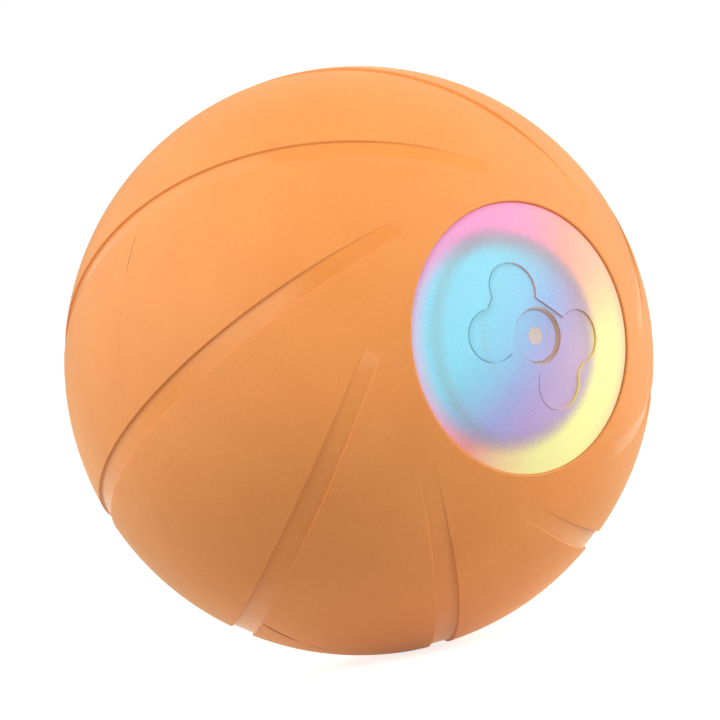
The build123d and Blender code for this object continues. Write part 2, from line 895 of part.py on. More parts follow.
with BuildPart() as motor_rotor:
    with BuildSketch(station(rotor_x)):
        with Locations(motor_centre):
            Circle(rotor_radius)
            with PolarLocations(rotor_radius, rotor_slot_count):
                Rectangle(2 * rotor_slot_depth, rotor_slot, mode=Mode.SUBTRACT)
    extrude(amount=rotor_length)
    with BuildSketch(station(rotor_x)):
        with Locations(motor_centre):
            Circle(commutator_radius)
    extrude(amount=-commutator_length)
    with BuildSketch(station(rotor_x - commutator_length)):
        with Locations(motor_centre):
            Circle(motor_shaft_radius + press_fit)
    extrude(amount=commutator_length + rotor_length, mode=Mode.SUBTRACT)
motor_rotor.part.label = "motor_rotor"

with BuildPart() as motor_shaft:
    with BuildSketch(station(bell_left_x)):
        with Locations(motor_centre):
            Circle(motor_shaft_radius)
    extrude(amount=fast_gear_end_x + gear_pin_tip - bell_left_x)
motor_shaft.part.label = "motor_shaft"

with BuildPart() as motor_pinion:
    with BuildSketch(station(fast_gear_x)):
        with Locations(motor_centre):
            Polygon(
                *gear_outline(pinion_teeth, fast_module, pinion_angle + 180 + 180 / pinion_teeth),
                align=None,
            )
            Circle(motor_shaft_radius + press_fit, mode=Mode.SUBTRACT)
    extrude(amount=reduction_gear_width)
motor_pinion.part.label = "motor_pinion"

with BuildPart() as motor_terminals:
    with BuildSketch(station(bell_left_x)):
        with Locations((-terminal_spread, motor_height), (terminal_spread, motor_height)):
            Rectangle(terminal_width, terminal_thickness)
    extrude(amount=-terminal_length)
motor_terminals.part.label = "motor_terminals"

motor_screws = screw_set(
    seats_at(plate_outer_x - motor_screw[1], 1, motor_screw_places), motor_screw, "motor_screws"
)

terminal_end_x = bell_left_x - terminal_length
motor_lead_step = (terminal_end_x - board_right_x) / 3
motor_leads = leads(
    [
        (
            (terminal_end_x, across, motor_height),
            (terminal_end_x - motor_lead_step, across, motor_height),
            (board_right_x + motor_lead_step, across, motor_height - motor_lead_drop),
            (board_right_x, across, motor_height - motor_lead_drop),
        )
        for across in (-terminal_spread, terminal_spread)
    ],
    "motor_leads",
)

# Reduction gear on its pin: a large wheel driven by the pinion, a small one driving the yoke
with BuildPart() as gear_pin:
    with BuildSketch(station(plate_inner_x)):
        with Locations(reduction_centre):
            Circle(gear_pin_radius)
    extrude(amount=slow_gear_end_x + gear_pin_tip - plate_inner_x)
gear_pin.part.label = "gear_pin"

with BuildPart() as reduction_gear:
    with BuildSketch(station(fast_gear_x)):
        with Locations(reduction_centre):
            Polygon(*gear_outline(reduction_teeth, fast_module, pinion_angle), align=None)
    extrude(amount=reduction_gear_width)
    with BuildSketch(station(fast_gear_end_x)):
        with Locations(reduction_centre):
            Polygon(
                *gear_outline(
                    reduction_small_teeth,
                    slow_module,
                    reduction_angle + 180 + 180 / reduction_small_teeth,
                ),
                align=None,
            )
    extrude(amount=reduction_small_width)
    with BuildSketch(station(fast_gear_x)):
        with Locations(reduction_centre):
            Circle(gear_pin_radius + running_fit)
    extrude(amount=reduction_gear_width + reduction_small_width, mode=Mode.SUBTRACT)
reduction_gear.part.label = "reduction_gear"

bush_outer = neck_radius + running_fit + bush_wall


def key_section(grow):
    """Round key with two flats, which locks the drive gear to its arm."""
    Circle(key_radius + grow)
    Rectangle(2 * (key_radius + overrun), 2 * (key_half_height + grow), mode=Mode.INTERSECT)


with BuildPart() as drive_gear:
    with BuildSketch(station(drive_gear_x)):
        Polygon(*gear_outline(drive_teeth, slow_module, reduction_angle), align=None)
    extrude(amount=drive_gear_width)
    with BuildSketch(station(drive_gear_end_x)):
        Circle(key_radius)
    extrude(amount=drive_gear_shoulder)
    with BuildSketch(station(arm_inner_x)):
        key_section(0)
    extrude(amount=arm_thickness)
    with BuildSketch(station(drive_gear_x)):
        Circle(bush_outer + press_fit)
    extrude(amount=arm_outer_x - drive_gear_x, mode=Mode.SUBTRACT)
drive_gear.part.label = "drive_gear"

# Yoke: the left arm and the cradle in one piece, the right arm screwed to the cradle's end
cradle_inner = core_radius + cradle_gap
cradle_outer = cradle_inner + cradle_wall
arm_screw_places = [
    polar((cradle_inner + cradle_outer) / 2, -90 + turn)
    for turn in (-arm_screw_angle, arm_screw_angle)
]
left_hub_end_x = -(light_board_x - bush_play - bush_flange)


def arm_section():
    """Round hub that widens downwards to the cradle."""
    reach = 2 * cradle_outer
    Polygon(
        (0, 0),
        polar(reach, -90 - cradle_half_angle),
        polar(reach, -90 + cradle_half_angle),
        align=None,
    )
    Circle(cradle_outer, mode=Mode.INTERSECT)
    Circle(arm_hub_radius)


def radial_plane(angle):
    """Plane that holds the roll axis, with its local Y pointing out at `angle` from +Y."""
    turn = math.radians(angle)
    return Plane(origin=(0, 0, 0), x_dir=(1, 0, 0), z_dir=(0, -math.sin(turn), math.cos(turn)))


weight_seat_x = (-weight_screw_spread, weight_screw_spread)
weight_screw_seats = [
    Plane(origin=(x, 0, -cradle_inner - small_screw[1]), x_dir=(1, 0, 0), z_dir=(0, 0, 1))
    for x in weight_seat_x
]
with BuildPart() as swing_yoke:
    with BuildSketch(station(-arm_inner_x)):
        arm_section()
    extrude(amount=-arm_thickness)
    with BuildSketch(station(-arm_outer_x)):
        Circle(key_radius)
    extrude(amount=left_hub_end_x + arm_outer_x)
    with BuildSketch(station(-arm_inner_x)):
        Circle(bush_outer + press_fit)
    extrude(amount=left_hub_end_x + arm_inner_x, mode=Mode.SUBTRACT)
    with BuildSketch(radial_plane(-90 - cradle_half_angle)):
        with Locations((0, (cradle_inner + cradle_outer) / 2)):
            Rectangle(2 * arm_inner_x, cradle_wall)
    revolve(axis=Axis.X, revolution_arc=2 * cradle_half_angle)
    with BuildSketch(station(arm_inner_x)):
        with Locations(*arm_screw_places):
            Circle(small_screw[2] + press_fit)
    extrude(amount=-small_screw[3], mode=Mode.SUBTRACT)
    with BuildSketch(*weight_screw_seats):
        Circle(small_screw[2] + press_fit)
    extrude(amount=-cradle_wall - overrun, mode=Mode.SUBTRACT)
    with BuildSketch(*weight_screw_seats):
        Circle(small_screw[0] + press_fit)
    extrude(amount=small_screw[1] + overrun, mode=Mode.SUBTRACT)
swing_yoke.part.label = "swing_yoke"

with BuildPart() as swing_arm:
    with BuildSketch(station(arm_inner_x)):
        arm_section()
        with BuildSketch(Plane.XY, mode=Mode.PRIVATE) as key_hole:
            key_section(press_fit)
        add(key_hole.sketch, mode=Mode.SUBTRACT)
        with Locations(*arm_screw_places):
            Circle(small_screw[2] + press_fit, mode=Mode.SUBTRACT)
    extrude(amount=arm_thickness)
swing_arm.part.label = "swing_arm"

arm_screws = screw_set(seats_at(arm_outer_x, 1, arm_screw_places), small_screw, "arm_screws")

# Steel weight under the cradle, rounded to follow the inside of the shell
weight_outer = spigot_inner - weight_running_gap
weight_inner = cradle_outer + press_fit
with BuildPart() as swing_weight:
    with BuildSketch(radial_plane(-90 - weight_half_angle)):
        with Locations((0, weight_outer)):
            Rectangle(2 * weight_half_length, 2 * (weight_outer - weight_inner))
        Circle(weight_outer, mode=Mode.INTERSECT)
    revolve(axis=Axis.X, revolution_arc=2 * weight_half_angle)
    chamfer(swing_weight.edges(), length=weight_edge)
    with BuildSketch(*weight_screw_seats):
        Circle(small_screw[2] + press_fit)
    extrude(amount=-small_screw[3], mode=Mode.SUBTRACT)
swing_weight.part.label = "swing_weight"

weight_screws = screw_set(weight_screw_seats, small_screw, "weight_screws")


def bush(inner_x, outer_x, flange_x, label):
    """Flanged plain bearing on the core's neck or trunnion."""
    with BuildPart() as sleeve:
        with BuildSketch(station(inner_x)):
            Circle(bush_outer)
        extrude(amount=outer_x - inner_x)
        with BuildSketch(station(outer_x)):
            Circle(bush_flange_radius)
        extrude(amount=flange_x - outer_x)
        with BuildSketch(station(inner_x)):
            Circle(neck_radius + running_fit)
        extrude(amount=flange_x - inner_x, mode=Mode.SUBTRACT)
    sleeve.part.label = label
    return sleeve


right_bush = bush(drive_gear_x, arm_outer_x, arm_outer_x + bush_flange, "right_bush")
left_bush = bush(-arm_inner_x, left_hub_end_x, left_hub_end_x - bush_flange, "left_bush")

# Flange on the end of the neck, with posts up to the right shell and standoffs for the light board
standoff_places = ring_places(light_standoff_ring, standoff_count, light_standoff_angle)
case_screw_bite = case_screw[3] - hub_depth + case_screw[1]
with BuildPart() as axle_flange:
    with BuildSketch(station(neck_end_x)):
        Circle(case_screw_ring + flange_post_radius + flange_rim)
    extrude(amount=flange_thickness)
    with BuildSketch(station(flange_outer_x)):
        with Locations(*case_screw_places):
            Circle(flange_post_radius)
    extrude(amount=hub_x - flange_outer_x)
    with BuildSketch(station(flange_outer_x)):
        with Locations(*standoff_places):
            Circle(light_standoff_radius)
    extrude(amount=light_standoff)
    with BuildSketch(station(neck_end_x)):
        Circle(wire_bore_radius)
        with Locations(*neck_screw_places):
            Circle(small_screw[2] + press_fit)
    extrude(amount=flange_thickness, mode=Mode.SUBTRACT)
    with BuildSketch(station(hub_x)):
        with Locations(*case_screw_places):
            Circle(case_screw[2] + press_fit)
    extrude(amount=-case_screw_bite, mode=Mode.SUBTRACT)
    with BuildSketch(station(light_board_x)):
        with Locations(*standoff_places):
            Circle(small_screw[2] + press_fit)
    extrude(amount=-small_screw[3] + light_board_thickness, mode=Mode.SUBTRACT)
axle_flange.part.label = "axle_flange"

case_screws = screw_set(
    seats_at(seat_x - case_screw[1], 1, case_screw_places), case_screw, "case_screws"
)
neck_screws = screw_set(
    seats_at(flange_outer_x, 1, neck_screw_places), small_screw, "neck_screws"
)


def light_board(side, screw_places, label):
    """Round board that carries the coloured lights."""
    with BuildPart() as board:
        with BuildSketch(station(side * light_board_x)):
            Circle(light_board_radius)
            with Locations(*screw_places):
                Circle(small_screw[2] + press_fit, mode=Mode.SUBTRACT)
        extrude(amount=side * light_board_thickness)
    board.part.label = label
    return board


def light_set(side, label):
    """Ring of small square lights, each with a round lens."""
    light_places = ring_places(light_ring, light_count)
    with BuildPart() as lights:
        with BuildSketch(station(side * light_face_x)):
            with Locations(*light_places):
                Rectangle(light_size, light_size)
        extrude(amount=side * light_height)
        with BuildSketch(station(side * (light_face_x + light_height))):
            with Locations(*light_places):
                Circle(light_lens_radius)
        extrude(amount=side * light_lens_height)
    lights.part.label = label
    return lights


right_light_board = light_board(1, standoff_places, "right_light_board")
left_light_board = light_board(-1, neck_screw_places, "left_light_board")
right_lights = light_set(1, "right_lights")
left_lights = light_set(-1, "left_lights")
right_board_screws = screw_set(
    seats_at(light_face_x, 1, standoff_places), small_screw, "right_board_screws"
)
left_board_screws = screw_set(
    seats_at(-light_face_x, -1, neck_screw_places), small_screw, "left_board_screws"
)

# Leads through the neck and the trunnion to the two light boards
right_light_leads = leads(
    [
        ((board_right_x, across, 0), (light_board_x, across, 0))
        for across in (-lead_pitch, 0, lead_pitch)
    ],
    "right_light_leads",
)
left_light_leads = leads(
    [
        ((board_left_x, across, 0), (-light_board_x, across, 0))
        for across in (-lead_pitch, 0, lead_pitch)
    ],
    "left_light_leads",
)

# Switch under the button
with BuildPart() as button_switch:
    with BuildSketch(station(light_face_x)):
        RectangleRounded(switch_size, switch_size, switch_corner)
    extrude(amount=switch_height)
    with BuildSketch(station(switch_face_x)):
        Circle(plunger_radius + running_fit)
    extrude(amount=-plunger_depth - button_travel - running_fit, mode=Mode.SUBTRACT)
button_switch.part.label = "button_switch"

with BuildPart() as switch_plunger:
    with BuildSketch(station(switch_face_x - plunger_depth)):
        Circle(plunger_radius)
    extrude(amount=plunger_depth + plunger_height)
switch_plunger.part.label = "switch_plunger"

with BuildPart() as power_button:
    with BuildSketch(station(button_stem_foot)):
        Circle(button_stem_radius)
    extrude(amount=button_flange_foot - button_stem_foot)
    with BuildSketch(station(button_flange_foot)):
        Circle(button_flange_radius)
    extrude(amount=button_flange)
    with BuildSketch(station(button_head_foot)):
        Circle(button_radius)
    extrude(amount=button_head_depth)
    fillet(rims_of(power_button, 1)[-1], radius=button_edge)
    with BuildSketch(station(button_top)):
        Circle(button_dot_radius)
    extrude(amount=-button_dot_depth, mode=Mode.SUBTRACT)
power_button.part.label = "power_button"

with BuildPart() as button_seal:
    with BuildSketch(station(button_head_foot)):
        Circle(button_flange_radius)
        Circle(button_hole_radius, mode=Mode.SUBTRACT)
    extrude(amount=button_seal_height)
button_seal.part.label = "button_seal"

with BuildPart() as button_light_dot:
    with BuildSketch(station(button_top - button_dot_depth)):
        Circle(button_dot_radius - press_fit)
    extrude(amount=button_dot_depth)
button_light_dot.part.label = "button_light_dot"

pieces = [
    right_cover, right_inner_shell, right_light_cap, right_cap_seal, seam_seal,
    left_cover, left_inner_shell, left_light_cap, left_cap_seal,
    core_frame, core_end_plate, frame_screws, main_board, usb_port, control_chips,
    battery_cell, battery_pad, battery_leads,
    motor_can, motor_end_bell, motor_magnets, motor_terminals, motor_screws, motor_leads,
    motor_rotor, motor_shaft, motor_pinion, gear_pin, reduction_gear, drive_gear,
    swing_yoke, swing_arm, arm_screws, swing_weight, weight_screws, right_bush, left_bush,
    axle_flange, case_screws, neck_screws,
    right_light_board, left_light_board, right_lights, left_lights,
    right_board_screws, left_board_screws, right_light_leads, left_light_leads,
    button_switch, switch_plunger, power_button, button_seal, button_light_dot,
]
os.makedirs("parts", exist_ok=True)
for piece in pieces:
    export_step(piece.part, f"parts/{piece.part.label}.step")
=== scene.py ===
import json
import math

import bpy
import numpy as np
from mathutils import Matrix, Vector


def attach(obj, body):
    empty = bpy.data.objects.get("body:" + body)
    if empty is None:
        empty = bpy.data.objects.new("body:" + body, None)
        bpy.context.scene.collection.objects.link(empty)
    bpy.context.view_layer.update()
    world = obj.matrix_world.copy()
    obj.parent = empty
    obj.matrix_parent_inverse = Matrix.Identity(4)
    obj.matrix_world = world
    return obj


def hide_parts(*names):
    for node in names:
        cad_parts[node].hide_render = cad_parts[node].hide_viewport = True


# Interactive dog ball: looks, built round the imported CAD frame. Metres, with the ball's centre at the
# origin and its roll axis along X. Shapes are worked out in millimetres and scaled once.

MM = 0.001
scene = bpy.context.scene
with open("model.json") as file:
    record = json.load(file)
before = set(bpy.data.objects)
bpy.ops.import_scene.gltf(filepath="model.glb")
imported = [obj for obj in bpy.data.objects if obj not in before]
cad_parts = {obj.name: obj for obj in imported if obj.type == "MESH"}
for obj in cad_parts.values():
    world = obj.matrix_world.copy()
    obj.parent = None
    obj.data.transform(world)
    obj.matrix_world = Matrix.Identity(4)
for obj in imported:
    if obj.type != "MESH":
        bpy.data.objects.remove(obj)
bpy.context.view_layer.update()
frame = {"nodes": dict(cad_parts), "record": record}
nodes = frame["nodes"]

# Camera at the photograph's angle, far enough off for its weak perspective
CAMERA_DISTANCE = 1.2
view_back = Vector((0.7921, -0.6085, 0.0480)).normalized()
view_up = Vector((0.0849, 0.1878, 0.9785))
view_right = view_up.cross(view_back).normalized()
view_up = view_back.cross(view_right).normalized()
camera_data = bpy.data.cameras.new("camera")
camera = bpy.data.objects.new("camera", camera_data)
scene.collection.objects.link(camera)
camera.matrix_world = Matrix.Translation(view_back * CAMERA_DISTANCE) @ Matrix(
    (view_right, view_up, view_back)).transposed().to_4x4()
camera_data.sensor_width = 36.0
camera_data.lens = 441.9
camera_data.shift_x = 0.00168
camera_data.shift_y = 0.00099
camera_data.clip_start = 0.05
camera_data.clip_end = 60.0
scene.camera = camera
scene.view_settings.view_transform = "Standard"


def tone(code):
    """Linear colour of a hex code."""
    parts = [int(code[i:i + 2], 16) / 255 for i in (1, 3, 5)]
    return tuple(c / 12.92 if c <= 0.04045 else ((c + 0.055) / 1.055) ** 2.4 for c in parts)


def dim(color, share):
    return tuple(c * share for c in color[:3])


def full_color(color):
    """Four linear values, from a hex code or three linear values."""
    return (*(tone(color) if isinstance(color, str) else color), 1.0)


class Shade:
    """A node material with a Principled shader, and short ways to add what feeds it."""

    def __init__(self, name):
        self.mat = bpy.data.materials.new(name)
        self.mat.use_nodes = True
        self.tree = self.mat.node_tree
        self.shader = self.tree.nodes["Principled BSDF"]
        self.place = self.add("TexCoord").outputs["Object"]

    def add(self, kind, **settings):
        node = self.tree.nodes.new("ShaderNode" + kind)
        for key, value in settings.items():
            setattr(node, key, value)
        return node

    def feed(self, value, socket):
        if isinstance(value, bpy.types.NodeSocket):
            self.tree.links.new(value, socket)
        else:
            socket.default_value = value

    def set(self, **values):
        for key, value in values.items():
            self.feed(value, self.shader.inputs[key.replace("_", " ")])

    def math(self, operation, a, b=0.0):
        node = self.add("Math", operation=operation)
        self.feed(a, node.inputs[0])
        self.feed(b, node.inputs[1])
        return node.outputs[0]

    def plus(self, a, b):
        return self.math("ADD", a, b)

    def minus(self, a, b):
        return self.math("SUBTRACT", a, b)

    def times(self, product, *factors):
        for factor in factors:
            product = self.math("MULTIPLY", product, factor)
        return product

    def hypot(self, a, b):
        return self.math("SQRT", self.plus(self.times(a, a), self.times(b, b)))

    def dot(self, vector, other):
        node = self.add("VectorMath", operation="DOT_PRODUCT")
        self.feed(vector, node.inputs[0])
        self.feed(other, node.inputs[1])
        return node.outputs["Value"]

    def split(self, vector):
        node = self.add("SeparateXYZ")
        self.feed(vector, node.inputs[0])
        return node.outputs["X"], node.outputs["Y"], node.outputs["Z"]

    def noise(self, size, detail=2.0, rough=0.5, stretch=None, distortion=0.0):
        """Noise whose features are about `size` millimetres across."""
        where = self.place
        if stretch:
            mapping = self.add("Mapping")
            mapping.inputs["Scale"].default_value = stretch
            self.feed(where, mapping.inputs["Vector"])
            where = mapping.outputs[0]
        node = self.add("TexNoise")
        self.feed(where, node.inputs["Vector"])
        node.inputs["Scale"].default_value = 1.0 / (size * MM)
        node.inputs["Detail"].default_value = detail
        node.inputs["Roughness"].default_value = rough
        node.inputs["Distortion"].default_value = distortion
        return node.outputs["Fac"]

    def ramp(self, factor, stops):
        """Colours by place along a ramp, as (place, colour) in rising order."""
        node = self.add("ValToRGB")
        elements = node.color_ramp.elements
        for index, (place, _) in enumerate(stops):
            if index >= 2:
                elements.new(place)
            elements[index].position = place
        for element, (_, color) in zip(sorted(elements, key=lambda e: e.position), stops):
            element.color = full_color(color)
        self.feed(factor, node.inputs["Fac"])
        return node.outputs["Color"]

    def mix(self, factor, a, b, blend="MIX"):
        node = self.add("Mix", data_type="RGBA", blend_type=blend)
        self.feed(factor, node.inputs["Factor"])
        for value, socket in ((a, node.inputs[6]), (b, node.inputs[7])):
            self.feed(value if isinstance(value, bpy.types.NodeSocket) else full_color(value), socket)
        return node.outputs[2]

    def mix_number(self, factor, a, b):
        node = self.add("Mix", data_type="FLOAT")
        self.feed(factor, node.inputs[0])
        self.feed(a, node.inputs[2])
        self.feed(b, node.inputs[3])
        return node.outputs[0]

    def span(self, value, low, high, to_low=0.0, to_high=1.0, kind="LINEAR"):
        """The value's place between low and high, read from to_low to to_high."""
        node = self.add("MapRange", interpolation_type=kind)
        self.feed(value, node.inputs["Value"])
        for key, number in (("From Min", low), ("From Max", high), ("To Min", to_low),
                            ("To Max", to_high)):
            node.inputs[key].default_value = number
        return node.outputs["Result"]

    def ease(self, value, low, high, to_low=0.0, to_high=1.0):
        """A span with soft ends."""
        return self.span(value, low, high, to_low, to_high, "SMOOTHSTEP")

    def bump(self, height, distance, normal=None):
        """A normal for relief of `distance` millimetres, laid over another normal if given."""
        node = self.add("Bump")
        node.inputs["Distance"].default_value = distance * MM
        self.feed(height, node.inputs["Height"])
        if normal:
            self.feed(normal, node.inputs["Normal"])
        return node.outputs["Normal"]


def plain(name, color, rough, metal=0.0, grain=0.35, grain_depth=0.012, mottle=0.14, coat=0.0,
          stretch=None, wear=0.0):
    """Moulded, rubbed or machined finish: mottled colour, varied gloss and a fine grain."""
    s = Shade(name)
    cloud = s.noise(3.5, 4.0, 0.6)
    fine = s.noise(grain, 3.0, 0.7, stretch=stretch)
    varied = s.mix(cloud, dim(color, 1 - mottle), dim(color, 1 + mottle * 0.7))
    speck = s.span(s.noise(0.16, 1.0), 0.35, 0.65, 1 - mottle * 0.5, 1 + mottle * 0.5)
    colored = s.mix(1.0, varied, s.ramp(speck, ((0.0, "#000000"), (1.0, "#FFFFFF"))), "MULTIPLY")
    if wear:
        scratch = s.span(s.noise(0.9, 6.0, 0.75, stretch=(1.0, 9.0, 1.0)), 0.62, 0.72)
        colored = s.mix(s.times(scratch, wear), colored, dim(color, 1.7))
    s.set(Base_Color=colored, Metallic=metal, Coat_Weight=coat, Coat_Roughness=0.12)
    s.set(Roughness=s.span(fine, 0.3, 0.7, max(rough - 0.08, 0.05), min(rough + 0.1, 1.0)))
    s.set(Normal=s.bump(fine, grain_depth))
    return s


# Plain finishes of the inside, by material slot
PLAIN = {
    "shell_plastic": dict(color=(0.78, 0.78, 0.75), rough=0.38, grain=0.25, mottle=0.05),
    "seal_silicone": dict(color=(0.045, 0.05, 0.055), rough=0.62, grain=0.12, grain_depth=0.02),
    "core_plastic": dict(color=(0.016, 0.018, 0.021), rough=0.42, grain=0.16, grain_depth=0.02,
                         mottle=0.3),
    "switch_body": dict(color=(0.012, 0.012, 0.014), rough=0.35, mottle=0.25),
    "port_steel": dict(color=(0.56, 0.56, 0.57), rough=0.26, metal=1.0, grain=0.3,
                       grain_depth=0.006, mottle=0.1, stretch=(9.0, 1.0, 1.0)),
    "screw_steel": dict(color=(0.52, 0.52, 0.53), rough=0.3, metal=1.0, grain=0.2,
                        grain_depth=0.008, mottle=0.18, stretch=(1.0, 5.0, 1.0)),
    "weight_steel": dict(color=(0.36, 0.36, 0.37), rough=0.36, metal=1.0, grain=0.4,
                         grain_depth=0.015, mottle=0.2, stretch=(12.0, 1.0, 1.0), wear=0.5),
    "motor_steel": dict(color=(0.55, 0.55, 0.54), rough=0.28, metal=1.0, grain=0.4,
                        grain_depth=0.008, mottle=0.12, stretch=(1.0, 9.0, 9.0)),
    "motor_bell": dict(color=(0.62, 0.58, 0.46), rough=0.36, mottle=0.08),
    "magnet_ferrite": dict(color=(0.03, 0.03, 0.034), rough=0.7, metal=0.1, grain=0.15,
                           grain_depth=0.03, mottle=0.3),
    "terminal_brass": dict(color=(0.62, 0.42, 0.15), rough=0.3, metal=1.0, grain=0.3,
                           grain_depth=0.01, mottle=0.2),
    "bush_bronze": dict(color=(0.42, 0.23, 0.09), rough=0.42, metal=1.0, grain=0.12,
                        grain_depth=0.03, mottle=0.3),
    "pin_steel": dict(color=(0.6, 0.6, 0.61), rough=0.18, metal=1.0, grain=0.3,
                      grain_depth=0.004, mottle=0.1, stretch=(12.0, 1.0, 1.0)),
    "gear_white": dict(color=(0.76, 0.74, 0.68), rough=0.3, grain=0.3, mottle=0.06),
    "lead_red": dict(color=(0.42, 0.012, 0.012), rough=0.36, mottle=0.16),
    "lead_black": dict(color=(0.012, 0.012, 0.013), rough=0.36, mottle=0.25),
    "chip_black": dict(color=(0.010, 0.010, 0.011), rough=0.55, grain=0.1, grain_depth=0.01,
                       mottle=0.3),
    "light_body": dict(color=(0.8, 0.79, 0.72), rough=0.25, mottle=0.06, coat=0.4),
    "button_dot": dict(color=tone("#DCC8C0"), rough=0.4, grain=0.3, mottle=0.22),
}
finishes = {name: plain(name, **finish) for name, finish in PLAIN.items()}


def board(name, color, trace):
    """Solder-masked laminate: fine tracks under the lacquer, and a weave that just shows."""
    s = Shade(name)
    turned = s.add("Mapping")
    turned.inputs["Rotation"].default_value = (0.0, math.pi / 2, 0.0)
    s.feed(s.place, turned.inputs["Vector"])
    bricks = s.add("TexBrick", offset=0.5, squash=1.0)
    s.feed(turned.outputs[0], bricks.inputs["Vector"])
    for key, value in (("Scale", 420.0), ("Mortar Size", 0.035), ("Mortar Smooth", 0.2),
                       ("Brick Width", 1.4), ("Row Height", 0.45)):
        bricks.inputs[key].default_value = value
    gate = s.span(s.noise(4.0, 1.0), 0.46, 0.52)
    track = s.times(bricks.outputs["Fac"], gate)
    weave = s.noise(0.35, 2.0)
    ground = s.mix(weave, dim(color, 0.86), dim(color, 1.14))
    s.set(Base_Color=s.mix(track, ground, trace), Coat_Weight=0.35, Coat_Roughness=0.2)
    s.set(Roughness=s.span(weave, 0.3, 0.7, 0.3, 0.46))
    s.set(Normal=s.bump(track, 0.03, s.bump(weave, 0.008)))
    return s


def battery_wrap():
    """Heat-shrunk pouch film: slight wrinkles and a soft metallic sheen."""
    s = Shade("battery_wrap")
    wrinkle = s.noise(2.2, 5.0, 0.65, stretch=(1.0, 2.6, 1.0), distortion=1.2)
    cloud = s.noise(6.0, 3.0)
    s.set(Base_Color=s.mix(cloud, (0.060, 0.115, 0.22), (0.085, 0.155, 0.29)))
    s.set(Metallic=0.35, Coat_Weight=0.5, Coat_Roughness=0.1)
    s.set(Roughness=s.span(wrinkle, 0.3, 0.7, 0.2, 0.4), Normal=s.bump(wrinkle, 0.18))
    return s


def foam():
    """Closed-cell foam."""
    s = Shade("battery_foam")
    cells = s.add("TexVoronoi")
    s.feed(s.place, cells.inputs["Vector"])
    cells.inputs["Scale"].default_value = 3600.0
    pits = s.span(cells.outputs["Distance"], 0.0, 0.6)
    s.set(Base_Color=s.mix(pits, (0.010, 0.010, 0.011), (0.032, 0.032, 0.034)))
    s.set(Roughness=0.85, Normal=s.bump(pits, 0.08))
    return s


def winding():
    """Enamelled copper wire laid side by side along the rotor."""
    s = Shade("rotor_copper")
    wave = s.add("TexWave", wave_type="BANDS", bands_direction="Y", wave_profile="SIN")
    s.feed(s.place, wave.inputs["Vector"])
    wave.inputs["Scale"].default_value = 900.0
    wave.inputs["Distortion"].default_value = 1.2
    strand = wave.outputs["Fac"]
    s.set(Base_Color=s.mix(strand, (0.20, 0.055, 0.018), (0.62, 0.24, 0.08)), Metallic=0.85)
    s.set(Roughness=s.span(s.noise(0.8), 0.3, 0.7, 0.2, 0.38), Normal=s.bump(strand, 0.08))
    return s


def cover_rubber():
    """Satin soft rubber: a very fine grain, a slight mottle and a dusting sheen. The marks on the covers
    paint shade onto their edges and smooth their groove floors."""
    s = Shade("cover_rubber")
    grain = s.noise(0.22, 2.0, 0.6)
    cloud = s.noise(9.0, 3.0, 0.55)
    speck = s.noise(0.34, 1.0)
    base = s.mix(s.span(cloud, 0.3, 0.7), (0.860, 0.300, 0.066), (0.895, 0.325, 0.076))
    base = s.mix(s.span(speck, 0.58, 0.74, 0.0, 0.30), base, (0.93, 0.40, 0.12))
    base = s.mix(s.span(speck, 0.42, 0.28, 0.0, 0.20), base, (0.70, 0.225, 0.045))
    painted_shade = s.add("Attribute", attribute_name="painted_shade").outputs["Fac"]
    groove_floor = s.add("Attribute", attribute_name="groove_floor").outputs["Fac"]
    rough = s.mix_number(groove_floor, s.span(grain, 0.3, 0.7, 0.44, 0.58),
                         s.span(grain, 0.3, 0.7, 0.11, 0.15))
    # Painted shade: darker where the mark lies, at the window's wall, the seam's gaps and the grooves'
    # feet
    s.set(Base_Color=s.mix(painted_shade, base, (0.29, 0.098, 0.027)), Roughness=rough)
    s.set(Specular_IOR_Level=0.50, Sheen_Weight=0.36, Sheen_Roughness=0.40)
    s.set(Sheen_Tint=(1.0, 0.86, 0.52, 1.0), Subsurface_Weight=0.06, Subsurface_Scale=0.0012)
    s.set(Subsurface_Radius=(1.0, 0.35, 0.12), Normal=s.bump(grain, 0.010))
    return s


finishes["board_laminate"] = board("board_laminate", (0.008, 0.075, 0.035), (0.02, 0.17, 0.08))
finishes["light_board_laminate"] = board("light_board_laminate", (0.74, 0.75, 0.72),
                                         (0.60, 0.62, 0.58))
finishes["battery_wrap"] = battery_wrap()
finishes["battery_foam"] = foam()
finishes["rotor_copper"] = winding()
finishes["cover_rubber"] = cover_rubber()

# Lit windows. Sizes are in millimetres, and the sunk figure's are those of the CAD caps. Other places
# on a window's face are shares of its radius, and colours along it are (place, hex code).
WINDOW_FACE = 18.15
WINDOW_TURN = math.radians(11.4)
WINDOW_GLOW = 0.075
FIGURE_TURN = math.radians(-41.2)
LOBE_RADIUS = 3.6
LOBE_REACH = 6.15
LOBE_RISE = 3.58
SHAFT_HALF_LENGTH = 8.5
SHAFT_HALF_WIDTH = 4.35
EDGE_PROBE = 0.3
MIDDLE_TONES = (
    (0.00, "#8CE0F4"), (0.16, "#8DD6F0"), (0.30, "#90CEEE"), (0.48, "#9CB6E4"),
    (0.60, "#ABADDC"), (0.72, "#BCA7D0"), (0.88, "#C8AEC9"), (1.00, "#D2B4CC"),
)
